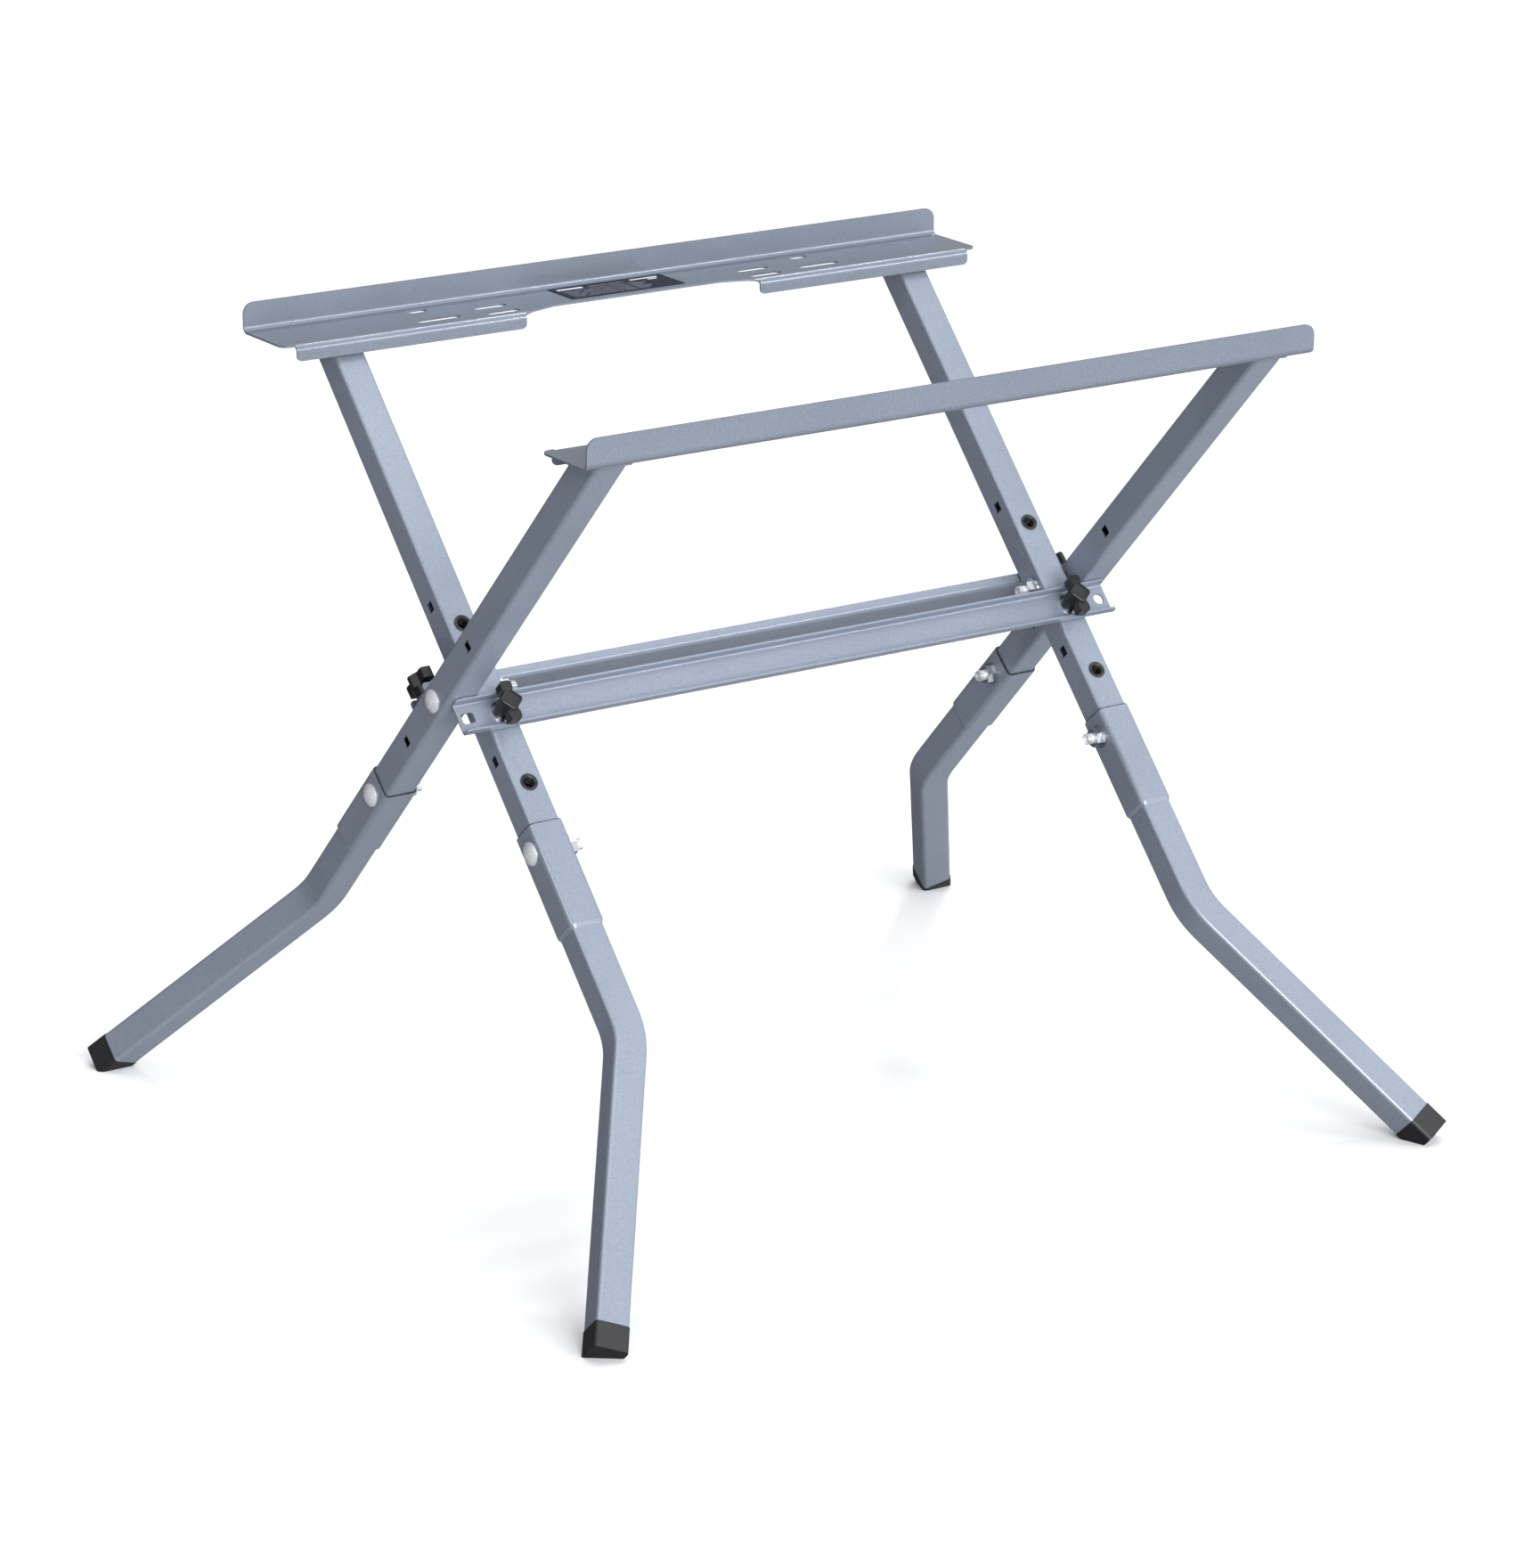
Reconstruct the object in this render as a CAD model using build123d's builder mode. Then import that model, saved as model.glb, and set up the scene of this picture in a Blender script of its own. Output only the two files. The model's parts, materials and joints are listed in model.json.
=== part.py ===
"""Folding stand for a bench saw: two crossed tube frames, bent sheet rails on top, splayed lower legs.

Millimetres, +Z up, +X along the rails, +Y to the back. The origin is on the floor under the middle of the
pivot line. The inner frame leans from the back rail to the front feet, the outer frame from the front rail
to the back feet. On both frames "station" is the distance below the pivot line, measured down the upright,
and "face" is the distance from the upright's centre line towards the side that looks up.
"""
import os
from math import cos, radians, sin

from build123d import *

# ---- frames ------------------------------------------------------------------------------------------
LEAN = 43.2                 # angle of each frame from the vertical when the stand is open
PIVOT_Z = 374.5             # height of the pivot line above the floor
INNER_X = 258.4             # half distance between the inner uprights
FRAME_GAP = 3.6             # gap between an inner and an outer upright
TUBE = 25.4                 # square tube
TUBE_WALL = 1.5
TUBE_R = 3.0                # outside corner radius
OUTER_X = INNER_X + TUBE + FRAME_GAP
HALF = TUBE / 2

UPRIGHT_END = 193.0         # station of the upright's lower end, inside the swaged leg
BOLT_STATION = 133.0        # bolt through upright and leg
HOLE_STATIONS = (-74.3, 57.0)   # spare pivot holes above and below the pivot
SQUARE_HOLE = 8.2           # hole for the square neck of a coach bolt
ROUND_HOLE_R = 4.06         # running fit on the pivot bolt

# ---- swaged lower legs -------------------------------------------------------------------------------
SLEEVE_TOP = 116.0
SLEEVE_END = 198.0
SLEEVE_STEP = 2.8           # length of the taper back to plain tube
SLEEVE_CLEAR = 0.1          # gap round the upright inside the sleeve
SLEEVE_OUT = TUBE + 2 * (TUBE_WALL + SLEEVE_CLEAR)
SLEEVE_R = TUBE_R + TUBE_WALL
BEND_STATION = 287.2        # where the two leg centre lines cross
BEND_ANGLE = 27.25
BEND_R = 65.0
FOOT_RUN = 231.3            # from the bend point to the end of the tube

# ---- foot caps ---------------------------------------------------------------------------------------
CAP_OUT = 26.4
CAP_LENGTH = 20.0
CAP_R = 3.2
PLUG_CLEAR = 0.05
PLUG_LENGTH = 22.0
PLUG_WALL = 2.5

# ---- rails -------------------------------------------------------------------------------------------
RAIL_Z = 604.8              # top of the rail plates
RAIL_Y = 243.5              # outer face of the upright flange
RAIL_W = 63.8               # from flange to lip, outside
RAIL_HALF = 317.6
LIP_HALF = 306.6
SHEET = 1.6
BEND_IN = 4.0               # inside radius of the sheet bends
FLANGE_H = 21.6             # flange above the plate
FLANGE_R = 9.0
LIP_H = 12.3                # lip below the plate's top
LIP_R = 4.0
TAB_W = 61.5                # depth of the flat plate beyond the ends of the lip
TAB_R = 8.0
CUT_HALF_LIP = 107.0        # central cut-out: half width at the lip, half width and depth at its floor
CUT_HALF = 76.0
CUT_EDGE = 52.0
CUT_SHOULDER = 61.5
SLOT_W = 8.5
SLOTS = ((175.0, 13.8, 17.0), (174.0, 44.3, 38.0), (120.5, 30.2, 29.5), (120.0, 49.8, 29.5))

# ---- label -------------------------------------------------------------------------------------------
LABEL = (104.0, 38.0, 0.3)
LABEL_AT = (-2.5, 26.0)      # along the rail, inward from the flange
LABEL_R = 1.5

# ---- rivet nuts --------------------------------------------------------------------------------------
NUT_STATIONS = (-51.1, 25.2, 82.8)
NUT_FLANGE_R = 6.7
NUT_FLANGE_T = 1.0
NUT_BODY_R = 5.4
NUT_BODY_L = 11.5
THREAD_R = 4.06
NUT_MOUTH = 0.9             # countersink at the mouth of the thread

# ---- cross channels ----------------------------------------------------------------------------------
CHANNEL_HALF = 295.0
CHANNEL_W = 26.7
CHANNEL_H = 8.5
CHANNEL_T = 1.6
CHANNEL_BEND = 1.4
CHANNEL_HOLE_R = 4.4
CHANNEL_END_HOLE = (10.4, 8.6, 2.0)  # slotted hole at one end: length, height and corner radius
CHANNEL_HOLE_IN = 8.4       # from the channel's end to the middle of that hole
CHANNEL_TIP_R = 3.0
KNOB_STATION = NUT_STATIONS[1]
CHANNEL_FACE = HALF + NUT_FLANGE_T

# ---- fasteners ---------------------------------------------------------------------------------------
BOLT_R = 4.0
HEAD_R = 8.9
HEAD_H = 4.4
HEAD_EDGE = 0.9             # height of the head's rim
NECK = 8.0
NECK_L = 3.4
TIP = 0.8                   # chamfer on a bolt end
HEX = 13.0                  # across flats
HEX_H = 8.0
HEX_CHAMFER = 2.4           # reach of the chamfer beyond the flats
HEX_FLANGE_R = 8.8
HEX_FLANGE_T = 1.4
BORE_R = 4.05
SPACER_R = 10.0
SPACER_SLACK = 0.1
WASHER_R = 8.5
WASHER_T = 1.6
WASHER_BORE = 4.3
THREAD_OUT = 3.0            # thread showing past a nut

# ---- knobs -------------------------------------------------------------------------------------------
KNOB_FACE = CHANNEL_FACE + CHANNEL_T + WASHER_T
KNOB_HUB_R = 7.4
KNOB_HUB_H = 8.6
KNOB_WING = (31.5, 7.6)     # overall length and width of the neck
KNOB_TIP = (8.0, 9.4, 2.4)  # tip of a wing: length, width and corner radius
KNOB_WING_H = 8.8
KNOB_BOSS = 14.2
KNOB_BOSS_R = 3.2
KNOB_BOSS_H = 10.6
KNOB_EDGE = 1.1
KNOB_DISH = 0.7             # recess in the top of the boss
KNOB_DISH_RIM = 1.6
KNOB_TURNS = {"front_left": -4, "front_right": -6, "back_left": 0, "back_right": 45}
STUD_IN = 12.0              # stud inside the plastic
STUD_END = 1.6              # face distance of the stud's tip, inside the upright


def frame_plane(direction):
    """Local x along the pivot line, local y = face, local z = station; -1 inner frame, +1 outer frame."""
    down = (0, direction * sin(radians(LEAN)), -cos(radians(LEAN)))
    return Plane(origin=(0, 0, PIVOT_Z), x_dir=(-direction, 0, 0), z_dir=down)


INNER = frame_plane(-1)
OUTER = frame_plane(1)


def section(frame, x, station):
    """Plane square to an upright, facing down it."""
    return Plane(origin=frame.from_local_coords((x, 0, station)), x_dir=frame.x_dir, z_dir=frame.z_dir)


def side_plane(frame, x):
    """Plane facing along the frame's x whose own x is face and whose own y is station."""
    return Plane(origin=frame.from_local_coords((x, 0, 0)), x_dir=frame.y_dir, z_dir=frame.x_dir)


def face_plane(frame, face):
    """Plane facing out of the uprights' upper side; its own y is minus the station."""
    return Plane(origin=frame.from_local_coords((0, face, 0)), x_dir=frame.x_dir, z_dir=frame.y_dir)


def across_plane(frame, x, station, outward):
    """Plane at a point of the frame, facing away from the middle (outward 1) or towards it (-1)."""
    away = 1 if x > 0 else -1
    return Plane(origin=frame.from_local_coords((x, 0, station)), x_dir=frame.y_dir,
                 z_dir=frame.x_dir * away * outward)


def turned(plane, angle):
    """The same plane turned about its own normal."""
    axis = Axis((0, 0, 0), plane.z_dir)
    return Plane(origin=plane.origin, x_dir=plane.x_dir.rotate(axis, angle), z_dir=plane.z_dir)


def profile_plane(seat):
    """Plane through a seat's axis, own x across the seat and own y along its normal."""
    return Plane(origin=seat.origin, x_dir=seat.x_dir, z_dir=-seat.y_dir)


def hands(frame):
    """Names of the two sides with the sign of the frame's own x on each."""
    return (("left", -frame.x_dir.X), ("right", frame.x_dir.X))


def export(builder, label):
    builder.part.label = label
    export_step(builder.part, "parts/" + label + ".step")


def square_ring(size, wall, radius):
    RectangleRounded(size, size, radius)
    RectangleRounded(size - 2 * wall, size - 2 * wall, radius - wall, mode=Mode.SUBTRACT)


# ---- uprights ----------------------------------------------------------------------------------------
def upright(frame, x, square_pivot, label):
    """Square tube from the underside of a rail to inside the swaged leg, with its bolt and nut holes."""
    top = -(RAIL_Z - PIVOT_Z) / cos(radians(LEAN)) - TUBE
    with BuildPart() as tube:
        with BuildSketch(section(frame, x, top)):
            square_ring(TUBE, TUBE_WALL, TUBE_R)
        extrude(amount=UPRIGHT_END - top)
        split(bisect_by=Plane.XY.offset(RAIL_Z - SHEET), keep=Keep.BOTTOM)
        with BuildSketch(side_plane(frame, x - TUBE)):
            with Locations(*[(0, station) for station in (*HOLE_STATIONS, BOLT_STATION)]):
                Rectangle(SQUARE_HOLE, SQUARE_HOLE)
            if square_pivot:
                Rectangle(SQUARE_HOLE, SQUARE_HOLE)
            else:
                Circle(ROUND_HOLE_R)
        extrude(amount=2 * TUBE, mode=Mode.SUBTRACT)
        with BuildSketch(face_plane(frame, 0)):
            with Locations(*[(x, -station) for station in NUT_STATIONS]):
                Circle(NUT_BODY_R + PLUG_CLEAR)
        extrude(amount=TUBE, mode=Mode.SUBTRACT)
    export(tube, label)


# ---- lower legs --------------------------------------------------------------------------------------
def leg_end(frame, x):
    """Plane at the tube's cut end, facing along the splayed part; own x points away from the middle."""
    away = 1 if x > 0 else -1
    sine = sin(radians(BEND_ANGLE))
    cosine = cos(radians(BEND_ANGLE))
    tip = (x + away * FOOT_RUN * sine, 0, BEND_STATION + FOOT_RUN * cosine)
    along = frame.z_dir * cosine + frame.x_dir * (away * sine)
    across = frame.x_dir * (away * cosine) - frame.z_dir * sine
    return Plane(origin=frame.from_local_coords(tip), x_dir=across, z_dir=along)


def lower_leg(frame, x, label):
    """Leg with its upper end swaged over the upright, stepped down and bent outwards."""
    step_end = SLEEVE_END + SLEEVE_STEP
    step_start = SLEEVE_END - TUBE_WALL
    bore = TUBE + 2 * SLEEVE_CLEAR
    tip = leg_plane_point(frame, x)
    leg_plane = Plane(origin=frame.from_local_coords((x, 0, 0)), x_dir=frame.x_dir, z_dir=-frame.y_dir)
    with BuildPart() as leg:
        with BuildLine(leg_plane) as path:
            FilletPolyline((0, step_end), (0, BEND_STATION), tip, radius=BEND_R)
        with BuildSketch(section(frame, x, step_end)):
            square_ring(TUBE, TUBE_WALL, TUBE_R)
        sweep(path=path.wires()[0])
        with BuildSketch(section(frame, x, SLEEVE_TOP)):
            RectangleRounded(SLEEVE_OUT, SLEEVE_OUT, SLEEVE_R)
        extrude(amount=SLEEVE_END - SLEEVE_TOP)
        with BuildSketch(section(frame, x, SLEEVE_END)):
            RectangleRounded(SLEEVE_OUT, SLEEVE_OUT, SLEEVE_R)
        with BuildSketch(section(frame, x, step_end)):
            RectangleRounded(TUBE, TUBE, TUBE_R)
        loft()
        with BuildSketch(section(frame, x, SLEEVE_TOP)):
            RectangleRounded(bore, bore, TUBE_R)
        extrude(amount=step_start - SLEEVE_TOP, mode=Mode.SUBTRACT)
        with BuildSketch(section(frame, x, step_start)):
            RectangleRounded(bore, bore, TUBE_R)
        with BuildSketch(section(frame, x, step_end)):
            RectangleRounded(TUBE - 2 * TUBE_WALL, TUBE - 2 * TUBE_WALL, TUBE_R - TUBE_WALL)
        loft(mode=Mode.SUBTRACT)
        with BuildSketch(side_plane(frame, x - TUBE)):
            with Locations((0, BOLT_STATION)):
                Rectangle(SQUARE_HOLE, SQUARE_HOLE)
        extrude(amount=2 * TUBE, mode=Mode.SUBTRACT)
    export(leg, label)


def leg_plane_point(frame, x):
    """End of the leg's centre line, measured across and along from the upright's own line."""
    tip = frame.to_local_coords(leg_end(frame, x).origin)
    return (tip.X - x, tip.Z)


def foot_cap(frame, x, label):
    """Plastic block on the tube's end, cut off level with the floor, with a hollow plug up the tube."""
    end = leg_end(frame, x)
    plug = TUBE - 2 * TUBE_WALL - 2 * PLUG_CLEAR
    with BuildPart() as cap:
        with BuildSketch(end):
            RectangleRounded(CAP_OUT, CAP_OUT, CAP_R)
        extrude(amount=CAP_LENGTH)
        with BuildSketch(end.offset(-PLUG_LENGTH)):
            RectangleRounded(plug, plug, TUBE_R - TUBE_WALL)
            RectangleRounded(plug - 2 * PLUG_WALL, plug - 2 * PLUG_WALL, PLUG_WALL / 2, mode=Mode.SUBTRACT)
        extrude(amount=PLUG_LENGTH)
        split(bisect_by=Plane.XY, keep=Keep.TOP)
    export(cap, label)


# ---- rails -------------------------------------------------------------------------------------------
def rail(side, label):
    """Bent sheet rail: flange up on the outside, slotted plate, lip down on the inside, open in the middle."""
    bend = BEND_IN + SHEET
    lip_start = RAIL_W - 2 * bend

    def at(inward):
        return side * (RAIL_Y - inward)

    def corner(sketch, inward, up):
        return sketch.vertices().sort_by_distance((at(inward), RAIL_Z + up, 0))[0]

    plate_top = Plane.XY.offset(RAIL_Z)
    with BuildPart() as part:
        with BuildSketch(Plane.YZ) as plate:
            points = [(0, -SHEET), (0, FLANGE_H), (SHEET, FLANGE_H), (SHEET, 0), (TAB_W, 0), (TAB_W, -SHEET)]
            Polygon(*[(at(inward), RAIL_Z + up) for inward, up in points], align=None)
            fillet(corner(plate, 0, -SHEET), bend)
            fillet(corner(plate, SHEET, 0), BEND_IN)
        extrude(amount=RAIL_HALF, both=True)
        with BuildSketch(plate_top):
            with Locations((-RAIL_HALF, at(TAB_W)), (RAIL_HALF, at(TAB_W))):
                Rectangle(2 * TAB_R, 2 * TAB_R)
            with Locations((TAB_R - RAIL_HALF, at(TAB_W - TAB_R)), (RAIL_HALF - TAB_R, at(TAB_W - TAB_R))):
                Circle(TAB_R, mode=Mode.SUBTRACT)
        extrude(amount=-SHEET, mode=Mode.SUBTRACT)
        with BuildSketch(plate_top):
            with Locations((0, at(lip_start + bend))):
                Rectangle(2 * LIP_HALF, 2 * bend)
        extrude(amount=-SHEET, mode=Mode.SUBTRACT)
        with BuildSketch(Plane.YZ) as lip:
            points = [(lip_start, 0), (RAIL_W, 0), (RAIL_W, -LIP_H), (RAIL_W - SHEET, -LIP_H),
                      (RAIL_W - SHEET, -SHEET), (lip_start, -SHEET)]
            Polygon(*[(at(inward), RAIL_Z + up) for inward, up in points], align=None)
            fillet(corner(lip, RAIL_W, 0), bend)
            fillet(corner(lip, RAIL_W - SHEET, -SHEET), BEND_IN)
        extrude(amount=LIP_HALF, both=True)
        with BuildSketch(plate_top):
            Polygon((-CUT_HALF_LIP, at(RAIL_W + SHEET)), (-CUT_HALF_LIP, at(CUT_SHOULDER)),
                    (-CUT_HALF, at(CUT_EDGE)), (CUT_HALF, at(CUT_EDGE)),
                    (CUT_HALF_LIP, at(CUT_SHOULDER)), (CUT_HALF_LIP, at(RAIL_W + SHEET)), align=None)
        extrude(amount=-2 * LIP_H, mode=Mode.SUBTRACT)
        with BuildSketch(plate_top):
            for x, inward, length in SLOTS:
                with Locations((-x, at(inward)), (x, at(inward))):
                    SlotOverall(length, SLOT_W)
        extrude(amount=-SHEET, mode=Mode.SUBTRACT)
        fillet(part.edges().filter_by(Axis.Y).group_by(Axis.Z)[-1], FLANGE_R)
        fillet(part.edges().filter_by(Axis.Y).group_by(Axis.Z)[0], LIP_R)
    export(part, label)


def rail_label():
    """Plain printed plate stuck on the back rail, without lettering."""
    length, width, thickness = LABEL
    with BuildPart() as plate:
        with BuildSketch(Plane.XY.offset(RAIL_Z)):
            with Locations((LABEL_AT[0], RAIL_Y - LABEL_AT[1])):
                RectangleRounded(length, width, LABEL_R)
        extrude(amount=thickness)
    export(plate, "rail_label")


# ---- cross channels ----------------------------------------------------------------------------------
def channel(frame, label):
    """Channel across both frames; its web lies on the rivet nuts, its upper flange stops the other frame."""
    web = face_plane(frame, CHANNEL_FACE)
    across = -KNOB_STATION
    bend = CHANNEL_BEND + CHANNEL_T
    hole_length, hole_height, hole_r = CHANNEL_END_HOLE
    end_plane = Plane(origin=web.from_local_coords((-CHANNEL_HALF, across, 0)), x_dir=web.y_dir, z_dir=web.x_dir)
    with BuildPart() as part:
        with BuildSketch(end_plane):
            with Locations((0, CHANNEL_H)):
                RectangleRounded(CHANNEL_W, 2 * CHANNEL_H, bend)
            with Locations((0, CHANNEL_H + CHANNEL_T)):
                RectangleRounded(CHANNEL_W - 2 * CHANNEL_T, 2 * CHANNEL_H, CHANNEL_BEND, mode=Mode.SUBTRACT)
            with Locations((0, 2 * CHANNEL_H)):
                Rectangle(2 * CHANNEL_W, 2 * CHANNEL_H, mode=Mode.SUBTRACT)
        extrude(amount=2 * CHANNEL_HALF)
        with BuildSketch(web):
            with Locations(*[(x, across) for x in (-INNER_X, INNER_X, OUTER_X)]):
                Circle(CHANNEL_HOLE_R)
            with Locations((CHANNEL_HOLE_IN - CHANNEL_HALF, across)):
                RectangleRounded(hole_length, hole_height, hole_r)
        extrude(amount=CHANNEL_T, mode=Mode.SUBTRACT)
        tips = part.edges().filter_by(Axis((0, 0, 0), web.y_dir)).group_by(Axis(web.origin, web.z_dir))[-1]
        fillet(tips, CHANNEL_TIP_R)
    export(part, label)


# ---- fasteners ---------------------------------------------------------------------------------------
def coach_bolts(seats, length, label):
    """Domed bolts with a square neck; each seat faces the way its head points."""
    with BuildPart() as bolts:
        for seat in seats:
            with BuildSketch(profile_plane(seat)):
                with BuildLine():
                    Polyline((HEAD_R, HEAD_EDGE), (HEAD_R, 0), (BOLT_R, 0), (BOLT_R, TIP - length),
                             (BOLT_R - TIP, -length), (0, -length), (0, HEAD_H))
                    TangentArc((0, HEAD_H), (HEAD_R, HEAD_EDGE), tangent=(1, 0))
                make_face()
            revolve(axis=Axis(seat.origin, seat.z_dir))
            with BuildSketch(seat):
                Rectangle(NECK, NECK)
            extrude(amount=-NECK_L)
    export(bolts, label)


def flange_nuts(seats, label):
    """Hexagon nuts with a flange; each seat faces the way its nut stands."""
    with BuildPart() as nuts:
        for seat in seats:
            with BuildSketch(seat):
                Circle(HEX_FLANGE_R)
            extrude(amount=HEX_FLANGE_T)
            with BuildSketch(seat):
                RegularPolygon(HEX / 2, 6, major_radius=False)
            extrude(amount=HEX_H)
            with BuildSketch(profile_plane(seat)):
                Polygon((HEX / 2, HEX_H), (HEX / 2 + HEX_CHAMFER, HEX_H),
                        (HEX / 2 + HEX_CHAMFER, HEX_H - HEX_CHAMFER / 2), align=None)
            revolve(axis=Axis(seat.origin, seat.z_dir), mode=Mode.SUBTRACT)
            with BuildSketch(seat):
                Circle(BORE_R)
            extrude(amount=HEX_H, mode=Mode.SUBTRACT)
    export(nuts, label)


def rings(seats, radius, bore, thickness, label):
    """Plain washers or spacers; each seat faces the way its ring stands."""
    with BuildPart() as group:
        for seat in seats:
            with BuildSketch(seat):
                Circle(radius)
                Circle(bore, mode=Mode.SUBTRACT)
            extrude(amount=thickness)
    export(group, label)


def rivet_nuts(frame, x, label):
    """Flanged threaded inserts in the upper side of both uprights."""
    with BuildPart() as nuts:
        spots = [(side * x, -station) for side in (-1, 1) for station in NUT_STATIONS]
        with BuildSketch(face_plane(frame, HALF)):
            with Locations(*spots):
                Circle(NUT_FLANGE_R)
        extrude(amount=NUT_FLANGE_T)
        with BuildSketch(face_plane(frame, HALF - NUT_BODY_L)):
            with Locations(*spots):
                Circle(NUT_BODY_R)
        extrude(amount=NUT_BODY_L)
        with BuildSketch(face_plane(frame, 0)):
            with Locations(*spots):
                Circle(THREAD_R)
        extrude(amount=TUBE, mode=Mode.SUBTRACT)
        with BuildSketch(face_plane(frame, HALF + NUT_FLANGE_T)):
            with Locations(*spots):
                Circle(THREAD_R + NUT_MOUTH)
        extrude(amount=-NUT_MOUTH, taper=45, mode=Mode.SUBTRACT)
    export(nuts, label)


# ---- knobs -------------------------------------------------------------------------------------------
def knob_plane(frame, x, face):
    """Plane square to a knob's axis, own x along the upright."""
    return Plane(origin=frame.from_local_coords((x, face, KNOB_STATION)), x_dir=frame.z_dir, z_dir=frame.y_dir)


def knob(frame, x, turn, label):
    """Wing knob: round hub, two wings with wider tips, square boss set cornerwise with a dish on top."""
    seat = turned(knob_plane(frame, x, KNOB_FACE), turn)
    cornerwise = turned(seat, 45)
    wing_length, wing_width = KNOB_WING
    tip_length, tip_width, tip_r = KNOB_TIP
    tip_x = (wing_length - tip_length) / 2
    dish = KNOB_BOSS - 2 * KNOB_DISH_RIM
    with BuildPart() as part:
        with BuildSketch(seat.offset(KNOB_HUB_H)):
            Rectangle(wing_length - tip_length, wing_width)
            with Locations((-tip_x, 0), (tip_x, 0)):
                RectangleRounded(tip_length, tip_width, tip_r)
        extrude(amount=KNOB_WING_H)
        with BuildSketch(cornerwise.offset(KNOB_HUB_H)):
            RectangleRounded(KNOB_BOSS, KNOB_BOSS, KNOB_BOSS_R)
        extrude(amount=KNOB_BOSS_H)
        along = Axis(seat.origin, seat.z_dir)
        flat = part.faces().filter_by(along)
        fillet(flat.sort_by(along)[-1].outer_wire().edges(), KNOB_EDGE)
        with BuildSketch(cornerwise.offset(KNOB_HUB_H + KNOB_BOSS_H)):
            RectangleRounded(dish, dish, KNOB_BOSS_R - KNOB_DISH_RIM)
        extrude(amount=-KNOB_DISH, mode=Mode.SUBTRACT)
        with BuildSketch(seat):
            Circle(KNOB_HUB_R)
        extrude(amount=KNOB_HUB_H)
        with BuildSketch(seat):
            Circle(BORE_R)
        extrude(amount=STUD_IN, mode=Mode.SUBTRACT)
    export(part, label)


def stud(frame, x, label):
    """Threaded stud moulded into a knob, through the channel and the rivet nut."""
    with BuildPart() as part:
        with BuildSketch(knob_plane(frame, x, STUD_END)):
            Circle(BOLT_R)
        extrude(amount=KNOB_FACE + STUD_IN - STUD_END)
        chamfer(part.edges().sort_by(Axis(part.part.center(), frame.y_dir))[0], TIP)
    export(part, label)


def half_frame(frame, name, x, rail_name, rail_side, channel_name):
    """Everything welded, bolted or plugged to one pair of uprights."""
    leg_x = x + SLEEVE_OUT / 2
    leg_in = x - SLEEVE_OUT / 2
    for hand, sign in hands(frame):
        upright(frame, sign * x, frame is OUTER, name + "_upright_" + hand)
        lower_leg(frame, sign * x, name + "_leg_" + hand)
        foot_cap(frame, sign * x, name + "_foot_cap_" + hand)
    rail(rail_side, rail_name)
    channel(frame, channel_name)
    rivet_nuts(frame, x, name + "_rivet_nuts")
    heads = [across_plane(frame, sign * leg_x, BOLT_STATION, 1) for hand, sign in hands(frame)]
    coach_bolts(heads, SLEEVE_OUT + HEX_H + THREAD_OUT, name + "_leg_bolts")
    nuts = [across_plane(frame, sign * leg_in, BOLT_STATION, -1) for hand, sign in hands(frame)]
    flange_nuts(nuts, name + "_leg_nuts")


def pivots():
    """Bolts fixed in the outer uprights, spacers between the frames, washers and nuts inside."""
    grip = OUTER_X - INNER_X + TUBE + SPACER_SLACK + WASHER_T
    inner_face = INNER_X - HALF - SPACER_SLACK
    heads = [across_plane(OUTER, sign * (OUTER_X + HALF), 0, 1) for sign in (-1, 1)]
    coach_bolts(heads, grip + HEX_H + THREAD_OUT, "pivot_bolts")
    gaps = [across_plane(OUTER, sign * (OUTER_X - HALF), 0, -1) for sign in (-1, 1)]
    rings(gaps, SPACER_R, BORE_R, FRAME_GAP - SPACER_SLACK, "pivot_spacers")
    washers = [across_plane(OUTER, sign * inner_face, 0, -1) for sign in (-1, 1)]
    rings(washers, WASHER_R, WASHER_BORE, WASHER_T, "pivot_washers")
    nuts = [across_plane(OUTER, sign * (inner_face - WASHER_T), 0, -1) for sign in (-1, 1)]
    flange_nuts(nuts, "pivot_nuts")


def knobs(frame, name, x):
    """Knob, stud and washer at each end of a channel."""
    for hand, sign in hands(frame):
        place = name + "_" + hand
        knob(frame, sign * x, KNOB_TURNS[place], place + "_knob")
        stud(frame, sign * x, place + "_stud")
        rings([knob_plane(frame, sign * x, KNOB_FACE - WASHER_T)], WASHER_R, WASHER_BORE, WASHER_T, place + "_washer")


os.makedirs("parts", exist_ok=True)
half_frame(INNER, "inner", INNER_X, "back_rail", 1, "front_channel")
half_frame(OUTER, "outer", OUTER_X, "front_rail", -1, "back_channel")
rail_label()
pivots()
knobs(INNER, "front", INNER_X)
knobs(OUTER, "back", OUTER_X)
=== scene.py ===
"""Looks of the folding saw stand: paint, zinc, plastic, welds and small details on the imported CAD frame."""
import json
import math

import bpy
from mathutils import Matrix, Vector


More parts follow.
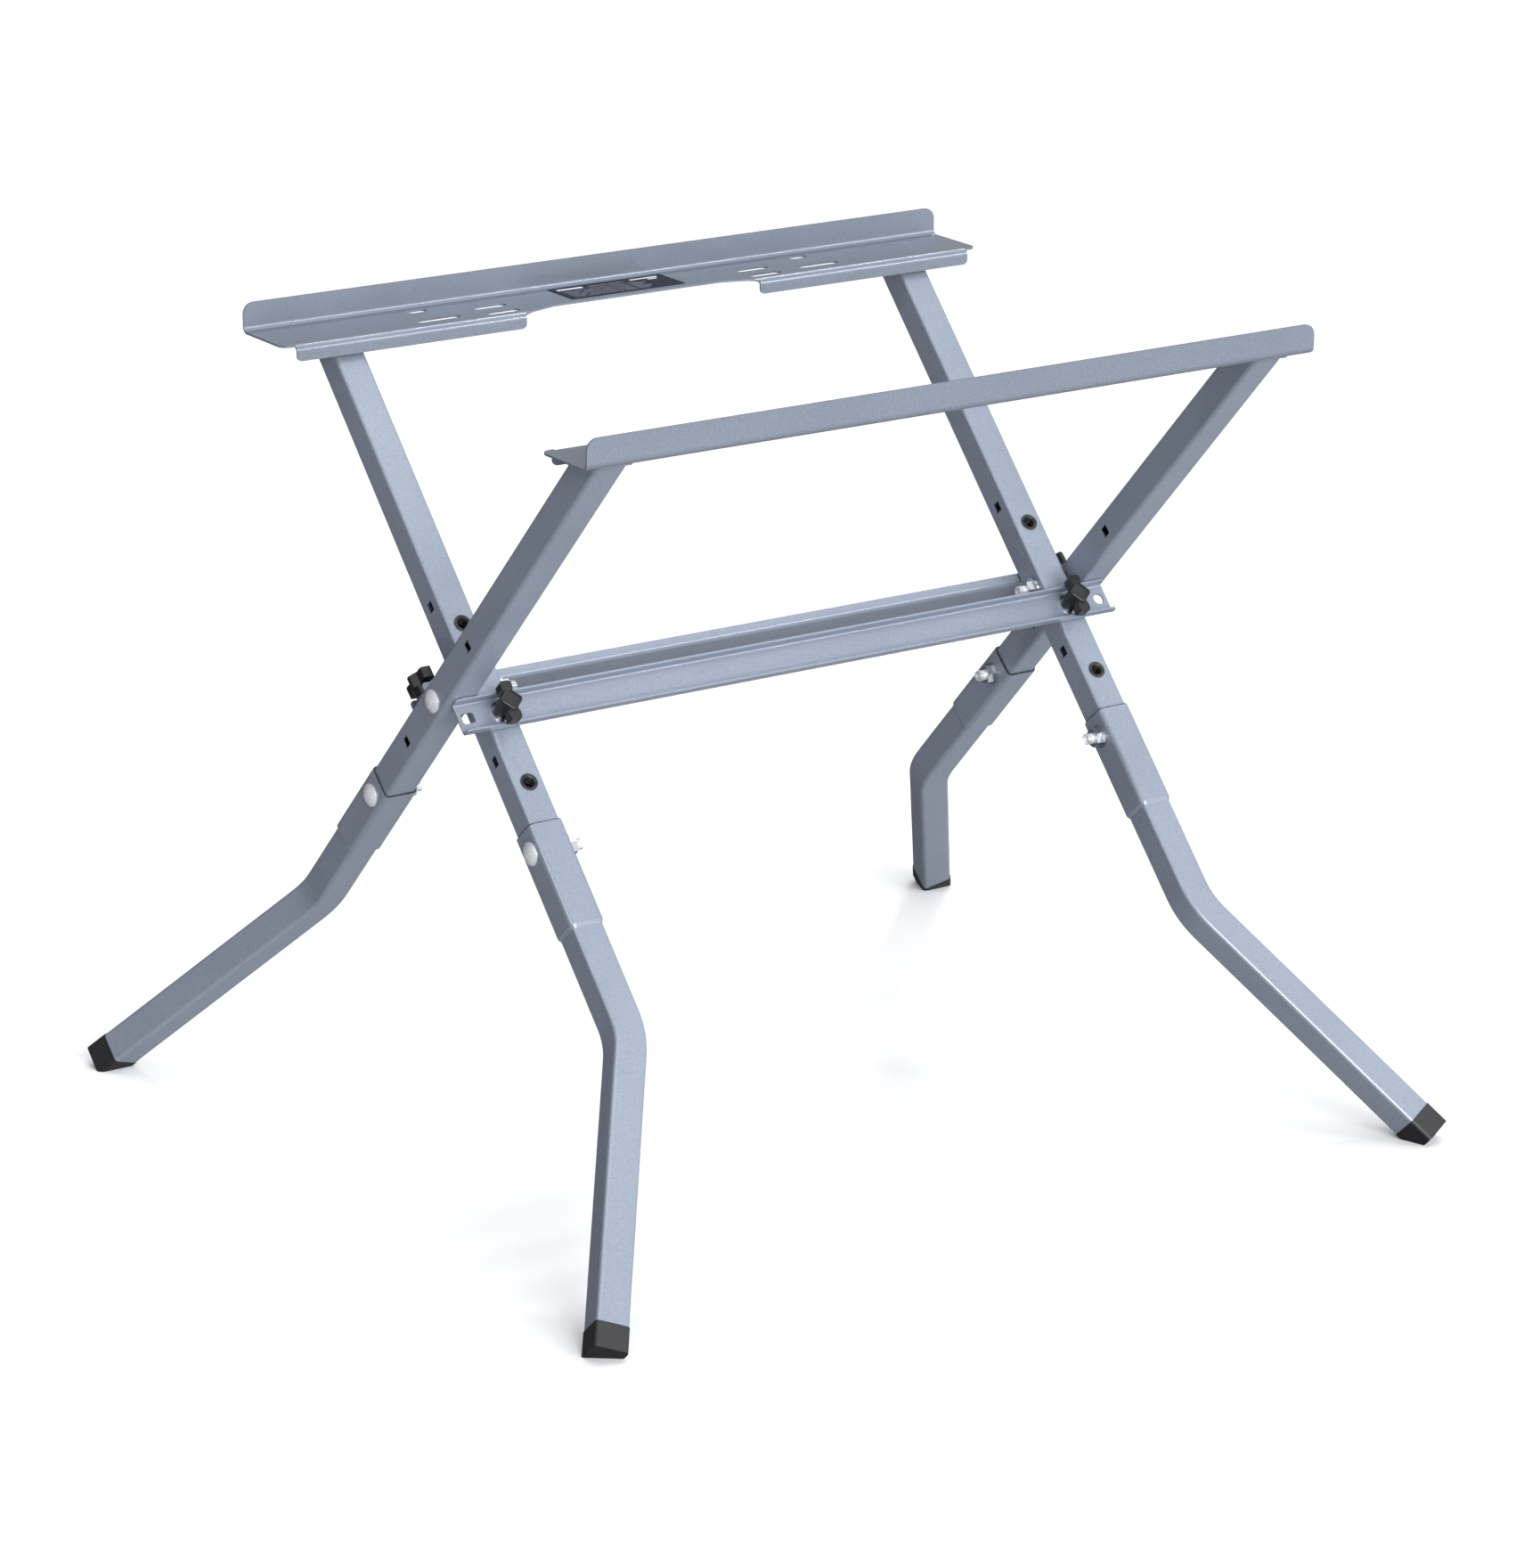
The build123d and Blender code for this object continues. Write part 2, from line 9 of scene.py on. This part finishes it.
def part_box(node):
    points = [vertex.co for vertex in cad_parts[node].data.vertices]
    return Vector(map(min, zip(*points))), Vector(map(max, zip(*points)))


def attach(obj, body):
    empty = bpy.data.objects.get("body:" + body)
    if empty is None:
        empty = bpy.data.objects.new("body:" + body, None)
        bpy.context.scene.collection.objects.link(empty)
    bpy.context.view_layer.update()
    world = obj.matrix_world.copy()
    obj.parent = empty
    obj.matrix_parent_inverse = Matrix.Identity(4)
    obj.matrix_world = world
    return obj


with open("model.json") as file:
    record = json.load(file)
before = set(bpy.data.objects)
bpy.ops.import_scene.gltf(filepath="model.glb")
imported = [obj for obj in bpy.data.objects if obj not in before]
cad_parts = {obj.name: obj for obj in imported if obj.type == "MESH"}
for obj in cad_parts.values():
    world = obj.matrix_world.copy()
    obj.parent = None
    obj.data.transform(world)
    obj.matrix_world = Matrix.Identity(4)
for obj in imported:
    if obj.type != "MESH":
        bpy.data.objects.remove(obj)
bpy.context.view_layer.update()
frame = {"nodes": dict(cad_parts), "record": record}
NODES = frame["nodes"]
RECORD = frame["record"]
MM = 0.001


# ---- camera --------------------------------------------------------------------------------------------
CAMERA_PLACE = (-2.2073, -3.2789, 1.549)
AZIMUTH, ELEVATION, ROLL = math.radians(33.87), math.radians(18.096), math.radians(0.262)
LENS = 124.69


def make_camera():
    """Camera that looks along AZIMUTH, turned from +Y towards +X, and down by ELEVATION."""
    forward = Vector((math.sin(AZIMUTH) * math.cos(ELEVATION), math.cos(AZIMUTH) * math.cos(ELEVATION),
                      -math.sin(ELEVATION)))
    level = Vector((math.cos(AZIMUTH), -math.sin(AZIMUTH), 0.0))
    upright = level.cross(forward)
    right = math.cos(ROLL) * level + math.sin(ROLL) * upright
    up = math.cos(ROLL) * upright - math.sin(ROLL) * level
    data = bpy.data.cameras.new("camera")
    data.lens = LENS
    data.sensor_width = 36.0
    data.clip_start, data.clip_end = 0.1, 100.0
    camera = bpy.data.objects.new("camera", data)
    bpy.context.scene.collection.objects.link(camera)
    rotation = Matrix((right, up, -forward)).transposed().to_4x4()
    camera.matrix_world = Matrix.Translation(CAMERA_PLACE) @ rotation
    bpy.context.scene.camera = camera


# ---- light and surroundings ----------------------------------------------------------------------------
def ramp(tree, source, stops):
    """Colour ramp over source; stops are (position, colour)."""
    node = tree.nodes.new("ShaderNodeValToRGB")
    elements = node.color_ramp.elements
    while len(elements) < len(stops):
        elements.new(0.5)
    for element, (position, colour) in zip(elements, stops):
        element.position = position
        element.color = (*colour, 1.0)
    tree.links.new(source, node.inputs["Fac"])
    return node.outputs["Color"]


def sun(name, towards, strength, spread):
    """Lamp at infinity; towards points from the stand to the lamp, spread is its width in degrees."""
    data = bpy.data.lights.new(name, "SUN")
    data.energy = strength
    data.angle = math.radians(spread)
    lamp = bpy.data.objects.new(name, data)
    bpy.context.scene.collection.objects.link(lamp)
    lamp.location = Vector(towards) * 4.0
    lamp.rotation_euler = Vector(towards).to_track_quat("Z", "Y").to_euler()


def make_light():
    """Even studio dome, darker on the left, with two broad lamps and three narrow ones for crisp edges."""
    bright_side = (0.55, -0.60, 0.45)
    dim, bright = (0.11, 0.11, 0.13), (0.98, 1.0, 1.04)
    world = bpy.data.worlds.new("studio")
    bpy.context.scene.world = world
    world.use_nodes = True
    tree = world.node_tree
    background = tree.nodes["Background"]
    background.inputs["Strength"].default_value = 1.0
    coords = tree.nodes.new("ShaderNodeTexCoord")
    lean = tree.nodes.new("ShaderNodeVectorMath")
    lean.operation = "DOT_PRODUCT"
    lean.inputs[1].default_value = bright_side
    spread = tree.nodes.new("ShaderNodeMapRange")
    spread.inputs["From Min"].default_value = -1.0
    spread.inputs["From Max"].default_value = 1.0
    tree.links.new(coords.outputs["Generated"], lean.inputs[0])
    tree.links.new(lean.outputs["Value"], spread.inputs["Value"])
    shade = ramp(tree, spread.outputs[0], ((0.28, dim), (0.85, bright)))
    tree.links.new(shade, background.inputs["Color"])
    sun("key_broad", (-0.12, -0.95, 0.28), 4.2, 40.0)
    sun("top_broad", (0.1, 0.1, 1.0), 0.95, 60.0)
    sun("edge_front", (0.53, -0.72, 0.44), 0.4, 4.0)
    sun("edge_back", (0.53, 0.39, 0.757), 0.35, 4.0)
    sun("edge_left", (-0.785, -0.17, 0.58), 0.3, 5.0)
    view = bpy.context.scene.view_settings
    view.view_transform = "Standard"
    view.look = "None"


def add_stage(name, vertices, faces, material):
    mesh = bpy.data.meshes.new(name)
    mesh.from_pydata(vertices, [], faces)
    mesh.materials.append(material)
    thing = bpy.data.objects.new(name, mesh)
    bpy.context.scene.collection.objects.link(thing)
    return thing


def make_floor():
    """Pale floor that doesn't show in the tubes' reflections."""
    half = 20.0
    corners = [(-half, -half, 0), (half, -half, 0), (half, half, 0), (-half, half, 0)]
    paper, _, shader = new_material("floor_paper")
    shader.inputs["Base Color"].default_value = (0.80, 0.80, 0.80, 1.0)
    shader.inputs["Roughness"].default_value = 0.9
    floor = add_stage("floor", corners, [(0, 1, 2, 3)], paper)
    floor.visible_glossy = False


def make_backdrop():
    """Pale round wall at the floor's far edge, seen by the camera alone, so it throws and blocks no light."""
    sides, radius, height = 64, 19.0, 12.0
    turns = [2 * math.pi * k / sides for k in range(sides)]
    vertices = [(radius * math.cos(turn), radius * math.sin(turn), z)
                for z in (0.0, height) for turn in turns]
    faces = [(k, (k + 1) % sides, sides + (k + 1) % sides, sides + k) for k in range(sides)]
    glow, _, shader = new_material("backdrop_paper")
    shader.inputs["Emission Color"].default_value = (1.0, 1.0, 1.0, 1.0)
    shader.inputs["Emission Strength"].default_value = 1.0
    glow.cycles.emission_sampling = "NONE"
    wall = add_stage("backdrop", vertices, faces, glow)
    wall.visible_diffuse = False
    wall.visible_glossy = False
    wall.visible_transmission = False
    wall.visible_shadow = False


# ---- materials -----------------------------------------------------------------------------------------
PAINT = (0.235, 0.268, 0.325)


def new_material(name):
    material = bpy.data.materials.new(name)
    material.use_nodes = True
    tree = material.node_tree
    return material, tree, tree.nodes["Principled BSDF"]


def noise(tree, scale, detail, roughness=0.5):
    coords = tree.nodes.new("ShaderNodeTexCoord")
    node = tree.nodes.new("ShaderNodeTexNoise")
    node.inputs["Scale"].default_value = scale
    node.inputs["Detail"].default_value = detail
    node.inputs["Roughness"].default_value = roughness
    tree.links.new(coords.outputs["Object"], node.inputs["Vector"])
    return node.outputs["Fac"]


def remap(tree, source, low, high):
    """Source, from 0 to 1, stretched to run from low to high."""
    node = tree.nodes.new("ShaderNodeMapRange")
    node.inputs["To Min"].default_value = low
    node.inputs["To Max"].default_value = high
    tree.links.new(source, node.inputs["Value"])
    return node.outputs["Result"]


def multiply_colours(tree, first, second):
    node = tree.nodes.new("ShaderNodeMix")
    node.data_type = "RGBA"
    node.blend_type = "MULTIPLY"
    node.inputs[0].default_value = 1.0
    tree.links.new(first, node.inputs[6])
    tree.links.new(second, node.inputs[7])
    return node.outputs[2]


def bump(tree, shader, layers):
    """Layers are (height source, strength, distance in metres), finest last."""
    normal = None
    for source, strength, distance in layers:
        node = tree.nodes.new("ShaderNodeBump")
        node.inputs["Strength"].default_value = strength
        node.inputs["Distance"].default_value = distance
        tree.links.new(source, node.inputs["Height"])
        if normal is not None:
            tree.links.new(normal, node.inputs["Normal"])
        normal = node.outputs["Normal"]
    tree.links.new(normal, shader.inputs["Normal"])


def tint(colour, factor):
    return tuple(channel * factor for channel in colour)


def powder_coat(name, colour, roughness=0.34):
    """Metallic powder coat: fine bright flakes, orange peel, faint handling marks."""
    material, tree, shader = new_material(name)
    clouds = noise(tree, 9.0, 3.0)
    flakes = noise(tree, 1500.0, 1.0)
    base = ramp(tree, clouds, ((0.3, tint(colour, 0.95)), (0.7, tint(colour, 1.05))))
    spark = ramp(tree, flakes, ((0.38, (0.86, 0.86, 0.86)), (0.62, (1.12, 1.12, 1.13))))
    tree.links.new(multiply_colours(tree, base, spark), shader.inputs["Base Color"])
    shader.inputs["Metallic"].default_value = 0.45
    shader.inputs["Specular IOR Level"].default_value = 0.3
    rub = noise(tree, 45.0, 4.0, 0.65)
    tree.links.new(remap(tree, rub, roughness - 0.06, roughness + 0.08), shader.inputs["Roughness"])
    shader.inputs["Coat Weight"].default_value = 0.25
    shader.inputs["Coat Roughness"].default_value = 0.17
    bump(tree, shader, [(noise(tree, 260.0, 2.0), 0.05, 0.0004), (flakes, 0.04, 0.0001)])
    return material


def zinc_plate(name, colour, roughness, metallic=1.0):
    """Bright zinc: slightly blue, faint turning marks and a cloudy passivation."""
    material, tree, shader = new_material(name)
    clouds = noise(tree, 120.0, 3.0)
    base = ramp(tree, clouds, ((0.3, tint(colour, 0.9)), (0.55, colour), (0.75, (0.86, 0.83, 0.80))))
    tree.links.new(base, shader.inputs["Base Color"])
    shader.inputs["Metallic"].default_value = metallic
    cloudy = remap(tree, noise(tree, 400.0, 3.0), roughness - 0.07, roughness + 0.1)
    tree.links.new(cloudy, shader.inputs["Roughness"])
    bump(tree, shader, [(noise(tree, 900.0, 2.0), 0.12, 0.0001)])
    return material


def moulded_plastic(name, colour, roughness, grain):
    """Black moulded plastic with a fine spark-eroded grain and rubbed lighter patches."""
    material, tree, shader = new_material(name)
    rub = noise(tree, 70.0, 4.0, 0.6)
    base = ramp(tree, rub, ((0.35, colour), (0.72, tint(colour, 1.8))))
    tree.links.new(base, shader.inputs["Base Color"])
    tree.links.new(remap(tree, rub, roughness + 0.08, roughness - 0.08), shader.inputs["Roughness"])
    bump(tree, shader, [(noise(tree, 900.0, 2.0), grain, 0.0002)])
    return material


def black_steel(name, shade=1.0):
    """Black oxide on steel; a shade under 1 darkens it as painted shade, for the inside of a hole."""
    material, tree, shader = new_material(name)
    clouds = noise(tree, 160.0, 3.0)
    dark, light = tint((0.03, 0.03, 0.032), shade), tint((0.09, 0.088, 0.09), shade)
    tree.links.new(ramp(tree, clouds, ((0.3, dark), (0.8, light))), shader.inputs["Base Color"])
    shader.inputs["Metallic"].default_value = 0.8
    tree.links.new(remap(tree, clouds, 0.26, 0.42), shader.inputs["Roughness"])
    bump(tree, shader, [(noise(tree, 700.0, 2.0), 0.1, 0.0001)])
    return material


def label_film(name, colour, roughness):
    """Matt printed film with faint uneven ink."""
    material, tree, shader = new_material(name)
    clouds = noise(tree, 60.0, 3.0)
    ink = ramp(tree, clouds, ((0.3, tint(colour, 0.9)), (0.7, tint(colour, 1.12))))
    tree.links.new(ink, shader.inputs["Base Color"])
    tree.links.new(remap(tree, clouds, roughness - 0.05, roughness + 0.08), shader.inputs["Roughness"])
    shader.inputs["Specular IOR Level"].default_value = 0.06
    bump(tree, shader, [(noise(tree, 500.0, 1.0), 0.05, 0.0001)])
    return material


def assign_materials():
    """Give each CAD node the material of its slot; returns the materials by slot."""
    by_slot = {
        "upright_paint": powder_coat("upright_coat", PAINT),
        "leg_paint": powder_coat("leg_coat", PAINT),
        "rail_paint": powder_coat("rail_coat", tint(PAINT, 0.72), roughness=0.29),
        "channel_paint": powder_coat("channel_coat", tint(PAINT, 0.95)),
        "cap_plastic": moulded_plastic("cap_plastic_grain", (0.007, 0.007, 0.0075), 0.5, 0.25),
        "knob_plastic": moulded_plastic("knob_plastic_grain", (0.005, 0.005, 0.005), 0.36, 0.12),
        "spacer_plastic": moulded_plastic("spacer_plastic_grain", (0.014, 0.014, 0.014), 0.5, 0.15),
        "black_steel": black_steel("black_steel_oxide"),
        "zinc_bolt": zinc_plate("zinc_bright", (0.80, 0.82, 0.85), 0.27, 0.6),
        "zinc_nut": zinc_plate("zinc_nut_finish", (0.64, 0.66, 0.70), 0.19),
        "label_film": label_film("label_print", (0.016, 0.018, 0.026), 0.5),
    }
    slots = {part["node"]: part["material_slot"] for part in RECORD["subparts"]}
    for node, thing in NODES.items():
        thing.data.materials.clear()
        thing.data.materials.append(by_slot[slots[node]])
    return by_slot


# ---- places on the frame -------------------------------------------------------------------------------
JOINTS = {joint["name"]: joint for joint in RECORD["behaviour"]["joints"]}
PIVOT_Z = JOINTS["open_close"]["pos_m"][2]
KNOB_AXIS = JOINTS["front_left_knob_travel"]["axis"]    # square to the inner uprights' upper face
LEAN = math.atan2(KNOB_AXIS[2], -KNOB_AXIS[1])          # of every upright from the vertical
TUBE_LOW, TUBE_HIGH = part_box("inner_upright_right")
HALF_TUBE = (TUBE_HIGH.x - TUBE_LOW.x) / 2
PLATE_UNDER = TUBE_HIGH.z
UPRIGHT_X = {name: (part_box(f"{name}_upright_right")[0].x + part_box(f"{name}_upright_right")[1].x) / 2
             for name in ("inner", "outer")}
HANDS = (("left", -1), ("right", 1))

# Stations are millimetres down an upright from the pivot.
SLEEVE_LINE = 115.6             # just above the swaged leg's top edge
LEG_BOLT_STATION = 133.0
OPEN_NUT_STATIONS = (-51.1, 82.8)
NUT_FACE = 12.6                 # mouth of a rivet nut, from the upright's centre line
NUT_HEIGHT = 8.1
LEG_NUT_FACE = 14.3             # where a leg nut sits, from its upright's centre line
PIVOT_NUT_X = 243.9             # where a pivot nut sits, from the middle of the stand
THREAD_PITCH = 1.25 * MM


def frame_point(frame_name, x, face, station):
    """World point from a frame's own measures in millimetres: face is towards the side that looks up."""
    side = -1 if frame_name == "inner" else 1
    sine, cosine = math.sin(LEAN), math.cos(LEAN)
    return Vector((x * MM, side * (sine * station + cosine * face) * MM,
                   PIVOT_Z + (sine * face - cosine * station) * MM))


# ---- small pieces --------------------------------------------------------------------------------------
def add_piece(name, vertices, faces, body, material, smooth=True):
    mesh = bpy.data.meshes.new(name)
    mesh.from_pydata([tuple(vertex) for vertex in vertices], [], faces)
    mesh.materials.append(material)
    mesh.update()
    if smooth:
        mesh.shade_smooth()
    piece = bpy.data.objects.new(name, mesh)
    bpy.context.scene.collection.objects.link(piece)
    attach(piece, body)


def sweep_ring(points, radii, sides, closed=True):
    """Vertices and faces of a round bead along points, one radius for each point."""
    vertices, faces = [], []
    count = len(points)
    for i, point in enumerate(points):
        ahead = points[(i + 1) % count] if closed or i < count - 1 else point
        behind = points[i - 1] if closed or i else point
        along = (ahead - behind).normalized()
        steep = abs(along.z) > 0.9
        across = (along.orthogonal() if steep else along.cross(Vector((0, 0, 1)))).normalized()
        third = along.cross(across)
        for k in range(sides):
            turn = 2 * math.pi * k / sides
            vertices.append(point + radii[i] * (math.cos(turn) * across + math.sin(turn) * third))
    for i in range(count if closed else count - 1):
        j = (i + 1) % count
        for k in range(sides):
            m = (k + 1) % sides
            faces.append((i * sides + k, i * sides + m, j * sides + m, j * sides + k))
    return vertices, faces


def rounded_rectangle(centre, half_x, half_y, radius, steps):
    """Evenly spaced points round a rectangle with rounded corners, level at the height of its centre."""
    corners = ((1, 1, 0), (-1, 1, 90), (-1, -1, 180), (1, -1, 270))
    corner_steps = 8
    outline = []
    for sx, sy, start in corners:
        for k in range(corner_steps + 1):
            turn = math.radians(start + 90 * k / corner_steps)
            outline.append(Vector((sx * (half_x - radius) + radius * math.cos(turn),
                                   sy * (half_y - radius) + radius * math.sin(turn), 0)))
    outline.append(outline[0].copy())
    lengths = [0.0]
    for a, b in zip(outline, outline[1:]):
        lengths.append(lengths[-1] + (b - a).length)
    points, at = [], 0
    for i in range(steps):
        want = lengths[-1] * i / steps
        while lengths[at + 1] < want:
            at += 1
        share = (want - lengths[at]) / (lengths[at + 1] - lengths[at])
        points.append(Vector(centre) + outline[at].lerp(outline[at + 1], share))
    return points


def helix(centre, axis, radius, turns, steps):
    """Points of a screw line that starts level with centre and climbs along axis."""
    axis = Vector(axis).normalized()
    first = axis.orthogonal().normalized()
    second = axis.cross(first)
    points = []
    for i in range(int(turns * steps) + 1):
        turn = 2 * math.pi * i / steps
        points.append(centre + radius * (math.cos(turn) * first + math.sin(turn) * second)
                      + axis * (THREAD_PITCH * i / steps))
    return points


def weld_beads(material):
    """Rippled bead round the top of each upright, under its rail."""
    steps, ripple, corner, gap = 216, 6, 3.5 * MM, 0.5 * MM
    half_x, half_y = HALF_TUBE + gap, HALF_TUBE / math.cos(LEAN) + gap
    for frame_name, towards in (("inner", 1), ("outer", -1)):
        for hand, side in HANDS:
            centre = (side * UPRIGHT_X[frame_name], towards * (PLATE_UNDER - PIVOT_Z) * math.tan(LEAN),
                      PLATE_UNDER - 1.0 * MM)
            points = rounded_rectangle(centre, half_x, half_y, corner, steps)
            radii = [(1.75 + 0.28 * math.sin(i * 2 * math.pi / ripple) + 0.2 * math.sin(i * 0.37)) * MM
                     for i in range(steps)]
            vertices, faces = sweep_ring(points, radii, 10)
            add_piece(f"weld_{frame_name}_{hand}", vertices, faces, f"{frame_name}_frame",
                      material)


def gap_shade_lines(material):
    """Painted shade: a dark line in the gap where each swaged leg begins, in place of the shadow there."""
    steps, half, corner = 120, 13.25, 3.4
    square = rounded_rectangle((0, 0, 0), half, half, corner, steps)
    radii = [(0.62 + 0.1 * math.sin(i * 0.83) + 0.07 * math.sin(i * 0.31)) * MM for i in range(steps)]
    for frame_name in ("inner", "outer"):
        for hand, side in HANDS:
            x = side * UPRIGHT_X[frame_name] / MM
            points = [frame_point(frame_name, x + spot.x, spot.y, SLEEVE_LINE) for spot in square]
            vertices, faces = sweep_ring(points, radii, 8)
            add_piece(f"gap_shade_line_{frame_name}_{hand}", vertices, faces, f"{frame_name}_frame",
                      material)


def thread_piece(name, starts, radius, turns, body, material):
    """Ridge of a screw thread from each (point, axis), run out to nothing at both ends."""
    ridge, run_out, steps = 0.36 * MM, 20, 40
    vertices, faces = [], []
    for centre, axis in starts:
        points = helix(centre, axis, radius, turns, steps)
        last = len(points) - 1
        radii = [ridge * min(1.0, 0.15 + i / run_out, 0.15 + (last - i) / run_out) for i in range(last + 1)]
        more, rings = sweep_ring(points, radii, 6, closed=False)
        first = len(vertices)
        vertices += more
        faces += [tuple(first + k for k in ring) for ring in rings]
    add_piece(name, vertices, faces, body, material)


def threads(zinc, black):
    """Thread ridges on the bolt ends past their nuts and inside the open rivet nuts."""
    bolt_radius, bolt_turns = 3.93 * MM, 5.0
    nut_radius, nut_turns = 4.02 * MM, 7.0
    for frame_name in ("inner", "outer"):
        body = f"{frame_name}_frame"
        ends, nuts = [], []
        for _, side in HANDS:
            x = side * UPRIGHT_X[frame_name] / MM
            past_nut = x - side * (LEG_NUT_FACE + NUT_HEIGHT)
            ends.append((frame_point(frame_name, past_nut, 0, LEG_BOLT_STATION), (-side, 0, 0)))
            for station in OPEN_NUT_STATIONS:
                mouth = frame_point(frame_name, x, NUT_FACE, station)
                inward = frame_point(frame_name, x, 0, station) - mouth
                nuts.append((mouth, inward))
        thread_piece(f"bolt_threads_{frame_name}", ends, bolt_radius, bolt_turns, body, zinc)
        thread_piece(f"nut_threads_{frame_name}", nuts, nut_radius, nut_turns, body, black)
    pivot_x = (PIVOT_NUT_X - NUT_HEIGHT) * MM
    ends = [(Vector((side * pivot_x, 0, PIVOT_Z)), (-side, 0, 0)) for _, side in HANDS]
    thread_piece("pivot_threads", ends, bolt_radius, bolt_turns, "outer_frame", zinc)


def label_bars(name, boxes, material):
    """Flat bars on the label, each (left, right, back, front) in millimetres from its back left corner."""
    low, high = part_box("rail_label")
    left, back, top = low.x, high.y, high.z + 0.03 * MM
    vertices, faces = [], []
    for x0, x1, y0, y1 in boxes:
        first = len(vertices)
        vertices += [(left + x0 * MM, back - y1 * MM, top), (left + x1 * MM, back - y1 * MM, top),
                     (left + x1 * MM, back - y0 * MM, top), (left + x0 * MM, back - y0 * MM, top)]
        faces.append((first, first + 1, first + 2, first + 3))
    add_piece(name, vertices, faces, "inner_frame", material, smooth=False)


def label_marks(light, grey):
    """Plain bars on the label in place of printing: three light ones, and grey rows of uneven lengths."""
    label_bars("label_bars_light", [(5, 28, 5, 9), (72, 97, 4.5, 7.5), (86, 94, 9.5, 12)], light)
    row_left, row_right, first_row, row_pitch, bar_width, gap = 6.0, 97.0, 13.0, 2.5, 0.75, 2.2
    rows = []
    for row in range(9):
        x, back = row_left, first_row + row_pitch * row
        for k in range(5):
            length = 9.0 + 7.0 * ((row * 7 + k * 5) % 4) / 3
            rows.append((x, min(x + length, row_right), back, back + bar_width))
            x += length + gap
            if x > 92:
                break
    rows += [(33, 50, 6, 7), (52, 66, 6, 7), (33, 61, 9, 9.8)]
    label_bars("label_bars_grey", rows, grey)


make_camera()
make_light()
make_floor()
make_backdrop()
MATERIALS = assign_materials()
weld_beads(MATERIALS["upright_paint"])
# painted shade: dark lines stand in for the shadow in the gap at the top of each swaged leg
gap_shade_lines(moulded_plastic("gap_painted_shade", (0.012, 0.012, 0.014), 0.7, 0.2))
# the open rivet nuts' threads take black oxide darkened to 0.4 as painted shade inside the bores
threads(MATERIALS["zinc_bolt"], black_steel("nut_bore_oxide_painted_shade", 0.4))
label_marks(label_film("label_ink_light", (0.62, 0.64, 0.68), 0.4),
            label_film("label_ink_grey", (0.20, 0.21, 0.25), 0.4))
